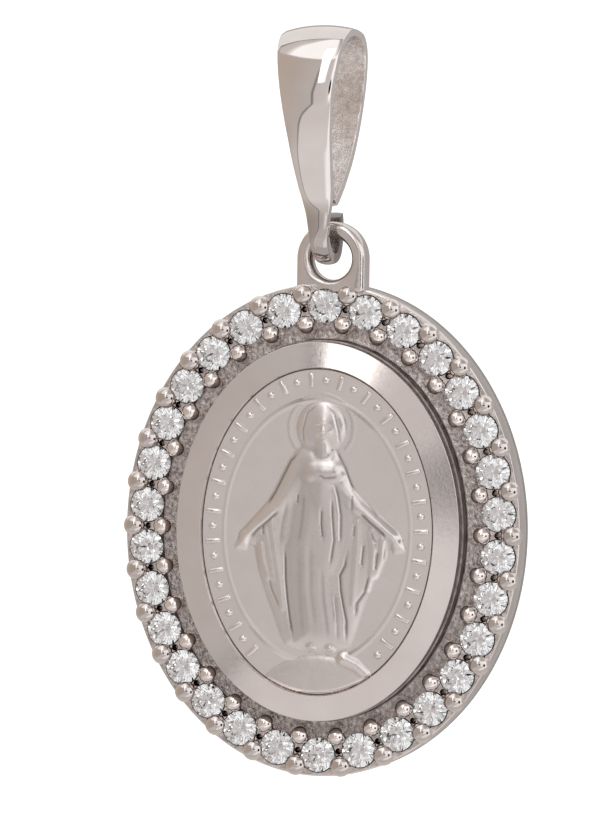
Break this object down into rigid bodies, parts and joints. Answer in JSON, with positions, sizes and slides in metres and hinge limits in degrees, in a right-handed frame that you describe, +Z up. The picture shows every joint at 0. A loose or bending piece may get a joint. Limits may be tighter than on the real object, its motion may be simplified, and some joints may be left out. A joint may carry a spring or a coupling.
{
  "type": "religious medal pendant",
  "caption": "Oval devotional medal with a raised standing figure, in a halo frame of small round clear stones, hung by a fixed loop in a tapered folded bail.",
  "frame": {"origin": "The bail's inner top, where the chain bears and the pendant hangs.", "axes": "+Z up. The medal's face looks along -Y, and +X is to the right of someone facing it."},
  "size_m": [0.0154, 0.0043, 0.0285],
  "materials": {
    "polished_metal": "mirror-polished warm white metal, rough cast inside",
    "cast_metal": "cast warm white metal, polished beads and wall, rough ledge",
    "satin_metal": "struck warm white metal, satin field and relief, bright sloping rim",
    "clear_stone": "clear brilliant-cut stone"
  },
  "bodies": {
    "bail": {"bail": "polished_metal"},
    "medal": {"frame": "cast_metal", "medal": "satin_metal", "stone_01": "clear_stone", "stone_02": "clear_stone", "stone_03": "clear_stone", "stone_04": "clear_stone", "stone_05": "clear_stone", "stone_06": "clear_stone", "stone_07": "clear_stone", "stone_08": "clear_stone", "stone_09": "clear_stone", "stone_10": "clear_stone", "stone_11": "clear_stone", "stone_12": "clear_stone", "stone_13": "clear_stone", "stone_14": "clear_stone", "stone_15": "clear_stone", "stone_16": "clear_stone", "stone_17": "clear_stone", "stone_18": "clear_stone", "stone_19": "clear_stone", "stone_20": "clear_stone", "stone_21": "clear_stone", "stone_22": "clear_stone", "stone_23": "clear_stone", "stone_24": "clear_stone", "stone_25": "clear_stone", "stone_26": "clear_stone", "stone_27": "clear_stone", "stone_28": "clear_stone", "stone_29": "clear_stone", "stone_30": "clear_stone"}
  },
  "joints": [
    {"name": "medal_swing", "type": "hinge", "parent": "bail", "child": "medal", "pos_m": [0, 0.00035, -0.0073], "axis": [1, 0, 0], "range_deg": [-60, 60]}
  ]
}
